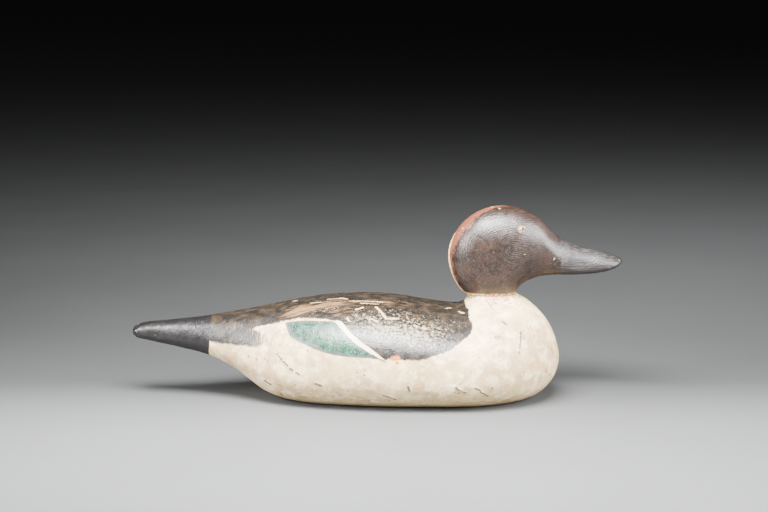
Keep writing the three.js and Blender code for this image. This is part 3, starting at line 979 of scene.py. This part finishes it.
@dataclass(frozen=True)
class HeadPaint:
    """Dark brown paint on the head, worn through on its ridge, with a grey bill, a painted sheen right of the eye and
    painted shade along the top of the bill.
    """

    roughness: float = 0.36
    bill_roughness: float = 0.42

    def brown_layer(self, graph: Graph, place: Socket) -> Socket:
        """Gives the colour of the head's paint, with a mauve painted sheen right of the eye."""
        tone = graph.blend(Clouds.on(graph, vector=place, size=11.0, low=0.35, high=0.65),
                           HeadTone.BROWN_DEEP.value, HeadTone.BROWN.value)
        mottle = Clouds.on(graph, vector=place, size=2.2, low=0.5, high=0.72)
        tone = graph.blend(graph.times(mottle, 0.45), tone, HeadTone.MAUVE_AND_SHEEN.value)
        # Painted sheen: a mauve glow right of the eye, laid into the colour where the right box's reflection falls.
        face_sheen = graph.attribute("face_sheen").outputs["Fac"]
        return graph.blend(graph.times(face_sheen, 0.5), tone, HeadTone.MAUVE_AND_SHEEN.value)

    def eye(self, graph: Graph, place: Socket) -> tuple:
        """Gives the masks of the eye's hole, of its chipped rim and of its worn patches."""
        middle = graph.vector("MULTIPLY", graph.vector("SUBTRACT", place, (EYE[0], 0.0, EYE[1])).outputs[0],
                              (1.0, 0.0, 1.0)).outputs[0]
        out = graph.vector("LENGTH", middle).outputs["Value"]
        first = graph.vector("LENGTH", graph.vector("SUBTRACT", middle, (0.5, 0.0, 0.7)).outputs[0]).outputs["Value"]
        second = graph.vector("LENGTH", graph.vector("SUBTRACT", middle, (-1.0, 0.0, -0.9)).outputs[0]).outputs["Value"]
        hole = graph.highest([graph.rise(first, 1.15, 0.6), graph.rise(second, 0.95, 0.45)])
        band = graph.math("ABSOLUTE", graph.math("SUBTRACT", out, EYE_RADIUS))
        broken = Clouds.on(graph, vector=place, size=2.2, low=0.45, high=0.6)
        ring = graph.times(graph.rise(band, 0.75, 0.3), broken)
        inside = graph.rise(out, EYE_RADIUS, EYE_RADIUS - 1.2)
        patches = graph.times(inside, Clouds.on(graph, vector=place, size=1.9, low=0.44, high=0.56))
        return hole, ring, patches

    def build(self) -> bpy.types.Material:
        """Makes the material."""
        material, graph, shader = new_material("head paint")
        place = graph.place()
        along = graph.part(place, "X")
        color = self.brown_layer(graph, place)
        bill_depth = graph.math("SUBTRACT", along, BILL_PAINT_X)
        bill = RaggedEdge.on(graph, depth=bill_depth, vector=place, size=3.0, reach=0.8, softness=0.5)
        grain = BrushMarks.on(graph, vector=place, length=22.0, width=1.1)
        bill_tone = graph.blend(graph.rise(grain, 0.4, 0.7), HeadTone.BILL_DARK_AND_SHADE.value, HeadTone.BILL.value)
        color = graph.blend(bill, color, bill_tone)

        lines = GrowthLines.on(graph, vector=place, depth=graph.attribute("growth").outputs["Fac"], size=1.9)
        shown = graph.attribute("shown").outputs["Fac"]
        color = graph.blend(graph.times(graph.math("SUBTRACT", 1.0, lines), shown, 0.5), color, HeadTone.BROWN_DEEP.value)

        ridge = graph.attribute("ridge").outputs["Fac"]
        red = RaggedEdge.on(graph, depth=ridge, vector=place, size=4.5, reach=6.0, softness=2.2)
        color = graph.blend(graph.times(red, 0.8), color, HeadTone.RED.value)
        chips = graph.times(Flecks.on(graph, vector=place, size=3.2, share=0.55), graph.rise(ridge, 0.0, 6.0))
        color = graph.blend(graph.times(chips, 0.8), color, HeadTone.CREAM.value)
        strip = RaggedEdge.on(graph, depth=graph.attribute("strip").outputs["Fac"], vector=place, size=3.5, reach=2.2,
                              softness=0.8)
        color = graph.blend(strip, color, HeadTone.CREAM.value)
        # Painted shade: a dark line along the top of the bill, where its upper edge turns away from the light.
        bill_top_shade = RaggedEdge.on(graph, depth=graph.attribute("bill_top_shade").outputs["Fac"], vector=place, size=2.5,
                               reach=0.5, softness=0.5)
        color = graph.blend(bill_top_shade, color, HeadTone.BILL_DARK_AND_SHADE.value)

        dots = graph.times(Flecks.on(graph, vector=place, size=5.5, share=0.055), 0.6)
        color = graph.blend(dots, color, HeadTone.CREAM.value)
        height_over_seat = graph.math("SUBTRACT", graph.part(place, "Z"), SEAT_HEIGHT + SEAM)
        foot = RaggedEdge.on(graph, depth=graph.math("SUBTRACT", FOOT_CRUST, height_over_seat), vector=place,
                             size=2.6, reach=2.0, softness=0.5)
        crust_tone = graph.blend(Clouds.on(graph, vector=place, size=3.0, low=0.42, high=0.6),
                                 HeadTone.CREAM.value, HeadTone.ORANGE.value)
        color = graph.blend(foot, color, crust_tone)
        hole, ring, patches = self.eye(graph, place)
        color = graph.blend(graph.times(patches, 0.9), color, HeadTone.CREAM.value)
        color = graph.blend(graph.times(ring, 0.7), color, HeadTone.RED.value)
        color = graph.blend(hole, color, HeadTone.BROWN_DEEP.value)

        bare = graph.highest([red, strip, foot, patches])
        roughness = graph.level(bill, self.roughness, self.bill_roughness)
        roughness = graph.level(graph.times(bare, 0.7), roughness, 0.62)
        rubbed = graph.times(graph.math("SUBTRACT", Clouds.on(graph, vector=place, size=5.0, low=0.3, high=0.7), 0.5), 0.12)
        fine = graph.times(graph.noise(place, 0.9, 2.0).outputs[0], 0.10)
        lumps = graph.times(graph.noise(place, 3.5, 2.0).outputs[0], 0.16)
        ridges = graph.times(lines, shown, 0.10)
        brushed = graph.times(grain, bill, 0.16)
        worn = graph.times(graph.highest([bare, dots, chips]), 0.10)
        height = graph.plus(fine, lumps, ridges, brushed, worn)
        finish_shader(graph, shader, color, graph.plus(roughness, rubbed), height)
        return material


def carry(piece: bpy.types.Object, name: str, values: np.ndarray) -> None:
    """Gives a piece's mesh a value or a vector for each vertex, under a name that its material reads."""
    kind, key = ("FLOAT_VECTOR", "vector") if values.ndim == 2 else ("FLOAT", "value")
    attribute = piece.data.attributes.new(name, kind, "POINT")
    attribute.data.foreach_set(key, values.astype(np.float32).ravel())


def finished_object(name: str, ball: bmesh.types.BMesh, places: np.ndarray) -> bpy.types.Object:
    """Moves a ball's vertices to their places and makes it an object.

    Args:
        name: The piece's name.
        ball: The mesh to place, which is used up.
        places: Each vertex's place, in millimetres.

    Returns:
        The object, at the origin, with its place in its mesh.
    """
    for vertex, place in zip(ball.verts, (places * MM).tolist()):
        vertex.co = place
    bmesh.ops.recalc_face_normals(ball, faces=ball.faces)
    mesh = bpy.data.meshes.new(name)
    ball.to_mesh(mesh)
    ball.free()
    mesh.shade_smooth()
    piece = bpy.data.objects.new(name, mesh)
    bpy.context.scene.collection.objects.link(piece)
    return piece


def inside_box(places: np.ndarray, node: str) -> np.ndarray:
    """Keeps places, in millimetres, inside the box of a solid."""
    low, high = (np.array(corner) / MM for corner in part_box(node))
    return np.clip(places, low, high)


@dataclass
class Body:
    """The carved body, with the marks of its carving, its wear and its paint."""

    rings: int = 330
    segments: int = 300
    crust_height: float = 1.3
    stub_roughness: float = 1.1
    form: BodyForm = field(default_factory=BodyForm)
    paint: BodyPaint = field(default_factory=BodyPaint)

    def relief(self, places: np.ndarray, skin: np.ndarray, rim: np.ndarray) -> np.ndarray:
        """Gives how far the surface stands out from its plain form, in millimetres.

        Args:
            places: The plain form's points.
            skin: Their places on the skin, with the distance down negative on the left side.
            rim: Their distance out from the seat's rim.

        Returns:
            One height for each point.
        """
        height = 0.30 * perlin(places, 42) + 0.14 * perlin(places, 13) + 0.05 * perlin(places, 4.5) - 0.15
        for score in GOUGES:
            height += score.relief(skin)
        ring = smoothstep(rim, -3, 0) * (1 - smoothstep(rim, 1.0, 4.5))
        height += ring * self.crust_height * np.clip(perlin(places, 3.4) + 0.25, 0, 1)
        stub = 1 - smoothstep(skin[:, 0], 4.0, 8.0)
        return height + stub * self.stub_roughness * (perlin(places, 3.0) - 0.2)

    def build(self) -> bpy.types.Object:
        """Makes the body and dresses it."""
        ball, share, turn = self.form.blank(self.rings, self.segments)
        plain = self.form.surface(share, turn)
        along = self.form.side.at(share)
        down = self.form.girth(share, turn)
        half = np.stack([along, down], axis=-1)
        skin = np.stack([along, np.where(plain[:, 1] > 0, -down, down)], axis=-1)
        rim = self.form.beyond_seat(along, plain[:, 1])
        rim = np.where(np.sin(turn) > 0, rim, 60.0)
        relief = self.relief(plain, skin, rim)
        under = smoothstep(plain[:, 2], 0.0, 2.0)
        places = plain + self.form.normals(share, turn) * (relief * under)[:, None]
        piece = finished_object("body", ball, inside_box(places, "body"))
        carry(piece, "skin", np.column_stack([skin, plain[:, 1] * 0]))
        carry(piece, "rim", rim)
        for name, patch in (("tail", TAIL_PAINT), ("back", BACK_PAINT), ("band", BAND_PAINT),
                            ("wing", WING_PATCH), ("stripe", WING_STRIPE)):
            carry(piece, name, patch.depth(half))
        for name, spots in (("brown wear", BROWN_WEAR), ("chalky wear and sheen", CHALKY_WEAR_AND_SHEEN)):
            carry(piece, name, spotted(spots, half))
        for name, spots in (("grey wear", GREY_WEAR), ("dirt", DIRT)):
            carry(piece, name, spotted(spots, skin))
        piece.data.materials.append(self.paint.build())
        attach(piece, "root")
        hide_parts("body")
        return piece


@dataclass
class Head:
    """The carved head and bill, with its growth lines, its worn ridge and its eyes."""

    rings: int = 270
    segments: int = 365
    cheek: tuple = (59.0, 139.5)
    line_size: float = 1.9
    line_height: float = 0.045
    eye_depth: float = 0.9
    crust_height: float = 0.9
    form: HeadForm = field(default_factory=HeadForm)
    paint: HeadPaint = field(default_factory=HeadPaint)

    PLAIN_PLACES = (Spot((35, 143), (11, 9)), Spot((84, 152), (13, 10)), Spot((40, 112), (22, 11)),
                    Spot((118, 134), (26, 6), 0.9))
    # Where the painted sheen lies, right of the eye.
    FACE_SHEEN = (Spot((82, 152), (16, 13)), Spot((66, 160), (12, 9), 0.6))
    RIDGE_WIDTHS = ((60, -4), (75, 2), (90, 6), (112, 9), (135, 14), (160, 12), (185, 9), (215, 9), (250, 7), (280, 4))
    STRIP_WIDTHS = ((140, -6), (155, 1), (170, 4.5), (200, 6), (230, 7), (260, 8), (285, 6))
    ARC_MIDDLE = (40.0, 135.0)

    def growth(self, along: np.ndarray, places: np.ndarray) -> np.ndarray:
        """Gives how deep in the wood each point lies, as rings round the cheek, in millimetres."""
        x, z = along - self.cheek[0], places[:, 2] - self.cheek[1]
        reach = np.where(x > 0, x / 4.5, x / 1.25)
        return np.hypot(reach, z) + 1.6 * perlin(places, 16) + 0.5 * perlin(places, 6)

    def arc(self, along: np.ndarray, places: np.ndarray) -> np.ndarray:
        """Gives the angle round the middle of the head, in degrees: 90 at the crown and 180 at the back."""
        angle = np.degrees(np.arctan2(places[:, 2] - self.ARC_MIDDLE[1], along - self.ARC_MIDDLE[0]))
        return np.where(angle < -30, angle + 360, angle)

    def width_at(self, angle: np.ndarray, widths: tuple) -> np.ndarray:
        """Reads a width from a row of (angle, width)."""
        angles, values = zip(*widths)
        return np.interp(angle, angles, values, left=-20, right=-20)

    def relief(self, places: np.ndarray, growth: np.ndarray, shown: np.ndarray) -> np.ndarray:
        """Gives how far the surface stands out from its plain form, in millimetres.

        Args:
            places: The plain form's points.
            growth: Their depth in the wood.
            shown: How much the growth lines show there, from 0 to 1.

        Returns:
            One height for each point.
        """
        height = 0.20 * perlin(places, 24) + 0.08 * perlin(places, 9) - 0.1
        height += self.line_height * shown * np.sin(growth / self.line_size * math.tau)
        flat = places[:, [0, 2]]
        out = np.linalg.norm(flat - EYE, axis=1)
        side = smoothstep(np.abs(places[:, 1]), 4, 8)
        hole = 1 - smoothstep(np.linalg.norm(flat - np.array(EYE) - (0.2, 0.3), axis=1), 0.3, 1.7)
        groove = 1 - smoothstep(np.abs(out - EYE_RADIUS), 0.2, 1.1)
        height -= side * (self.eye_depth * hole + 0.22 * groove * np.clip(0.6 + perlin(places, 2.5), 0, 1))
        foot = 1 - smoothstep(places[:, 2] - SEAT_HEIGHT, 1.2, 3.2)
        return height + foot * self.crust_height * np.clip(perlin(places, 2.6) + 0.3, 0, 1)

    def build(self) -> bpy.types.Object:
        """Makes the head and dresses it."""
        ball, share, turn = self.form.blank(self.rings, self.segments)
        plain = self.form.surface(share, turn)
        along = self.form.side.at(share)
        flat = np.stack([along, plain[:, 2]], axis=-1)
        growth = self.growth(along, plain)
        shown = np.clip(1 - spotted(self.PLAIN_PLACES, flat), 0.05, 1)
        angle = self.arc(along, plain)
        side = np.abs(plain[:, 1])
        above_seat = smoothstep(plain[:, 2] - SEAT_HEIGHT - SEAM, 0.05, 0.8)
        relief = self.relief(plain, growth, shown) * above_seat
        places = plain + self.form.normals(share, turn) * relief[:, None]
        piece = finished_object("head", ball, inside_box(places, "head"))
        carry(piece, "growth", growth)
        carry(piece, "shown", shown)
        carry(piece, "face_sheen", spotted(self.FACE_SHEEN, flat))
        carry(piece, "ridge", self.width_at(angle, self.RIDGE_WIDTHS) - side)
        carry(piece, "strip", self.width_at(angle, self.STRIP_WIDTHS) - side)
        # Width of the painted shade along the top of the bill.
        carry(piece, "bill_top_shade", np.where(along > 118, 1.0 + 0.05 * (along - 118), -5.0) - self.form.girth(share, turn))
        piece.data.materials.append(self.paint.build())
        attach(piece, "root")
        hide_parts("head")
        return piece


@dataclass(frozen=True)
class FloorPaper:
    """Plain studio paper with painted light and shade: a painted pool of light keeps it pale in front of the decoy, and
    painted shade greys it behind.
    """

    roughness: float = 0.8

    NEAR, FAR = -0.30, 3.7
    # Grey by depth: painted light falloff, darkest in a painted shadow band just behind the decoy.
    FALLOFF_GREYS = ((-0.30, 0.112), (-0.12, 0.104), (-0.04, 0.080), (0.02, 0.052), (0.06, 0.040), (0.25, 0.040),
             (0.44, 0.052), (0.70, 0.075), (1.25, 0.120), (2.2, 0.100), (3.7, 0.060))

    def build(self) -> bpy.types.Material:
        """Makes the material."""
        material, graph, shader = new_material("floor paper")
        place = graph.place()
        depth = graph.add("ShaderNodeMapRange")
        graph.feed(depth.inputs["Value"], graph.part(place, "Y"))
        graph.feed(depth.inputs["From Min"], self.NEAR / MM)
        graph.feed(depth.inputs["From Max"], self.FAR / MM)
        ramp = graph.add("ShaderNodeValToRGB")
        ramp.color_ramp.interpolation = "B_SPLINE"
        marks = ramp.color_ramp.elements
        for y, grey in self.FALLOFF_GREYS:
            share = (y - self.NEAR) / (self.FAR - self.NEAR)
            mark = marks[0] if share == 0 else marks[-1] if share == 1 else marks.new(share)
            mark.color = (grey * 0.98, grey, grey * 1.01, 1.0)
        graph.feed(ramp.inputs["Fac"], depth.outputs["Result"])
        cloudy = Clouds.on(graph, vector=place, size=160.0, low=0.3, high=0.7)
        # The ramp's grading is painted light and shade; the clouds only vary the paper's own tone.
        worn = graph.blend(graph.times(cloudy, 0.06), ramp.outputs["Color"], (0.0, 0.0, 0.0))
        shader.inputs["Roughness"].default_value = self.roughness
        graph.feed(shader.inputs["Base Color"], worn)
        return material


@dataclass
class SoftBox:
    """A soft box: a square light of a given size, hung round the decoy and turned to its aim."""

    name: str
    azimuth: float
    elevation: float
    distance: float
    width: float
    height: float
    power: float
    spread: float
    aim: tuple = (0.0, 0.0, 0.10)

    def build(self, middle: Vector) -> bpy.types.Object:
        """Hangs the light and turns it."""
        data = bpy.data.lights.new(self.name, "AREA")
        data.shape = "RECTANGLE"
        data.size, data.size_y = self.width, self.height
        data.energy = self.power
        data.spread = math.radians(self.spread)
        light = bpy.data.objects.new(self.name, data)
        a, e = math.radians(self.azimuth), math.radians(self.elevation)
        away = Vector((math.sin(a) * math.cos(e), -math.cos(a) * math.cos(e), math.sin(e)))
        light.location = middle + away * self.distance
        light.rotation_mode = "QUATERNION"
        light.rotation_quaternion = (Vector(self.aim) - light.location).to_track_quat("-Z", "Y")
        bpy.context.scene.collection.objects.link(light)
        return light


@dataclass
class Studio:
    """The floor, the soft boxes and the camera."""

    target: tuple = (0.0064, 0.0, 0.130)
    camera_distance: float = 1.646
    camera_elevation: float = 10.0
    lens: float = 85.0
    sensor: float = 36.0
    floor_size: float = 30.0
    room_light: tuple = (0.02, 0.0203, 0.0208, 1.0)

    BOXES = (
        SoftBox("top box", -8, 56, 0.72, 0.64, 0.30, 34.0, 120, (0.05, -0.12, 0.05)),
        SoftBox("left box", -63, 17, 0.95, 0.26, 0.50, 4.5, 70),
        SoftBox("right box", 57, 22, 1.5, 1.0, 0.9, 62.0, 150),
    )

    def floor(self) -> bpy.types.Object:
        """Lays the floor."""
        sheet = bmesh.new()
        bmesh.ops.create_grid(sheet, x_segments=1, y_segments=1, size=self.floor_size / 2)
        mesh = bpy.data.meshes.new("floor")
        sheet.to_mesh(mesh)
        sheet.free()
        mesh.materials.append(FloorPaper().build())
        floor = bpy.data.objects.new("floor", mesh)
        bpy.context.scene.collection.objects.link(floor)
        return floor

    def camera(self, target: Vector) -> bpy.types.Object:
        """Sets the camera at the photograph's angle."""
        e = math.radians(self.camera_elevation)
        back = Vector((0, -math.cos(e), math.sin(e)))
        data = bpy.data.cameras.new("camera")
        data.lens, data.sensor_width = self.lens, self.sensor
        camera = bpy.data.objects.new("camera", data)
        camera.location = target + back * self.camera_distance
        camera.rotation_mode = "QUATERNION"
        camera.rotation_quaternion = (-back).to_track_quat("-Z", "Y")
        bpy.context.scene.collection.objects.link(camera)
        bpy.context.scene.camera = camera
        return camera

    def room(self) -> None:
        """Fills the room with a faint even light."""
        world = bpy.data.worlds.new("room")
        world.use_nodes = True
        world.node_tree.nodes["Background"].inputs["Color"].default_value = self.room_light
        bpy.context.scene.world = world

    def build(self) -> None:
        """Sets up the studio."""
        middle = Vector(self.target)
        self.floor()
        self.camera(middle)
        for box in self.BOXES:
            box.build(middle)
        self.room()


def main() -> None:
    """Builds the decoy and its studio in order, and reports each piece."""
    logging.basicConfig(level=logging.INFO, format="%(message)s")
    for part in (Body(), Head()):
        piece = part.build()
        log.info("%s: %d faces", piece.name, len(piece.data.polygons))
    Studio().build()


if __name__ == "__main__":
    main()
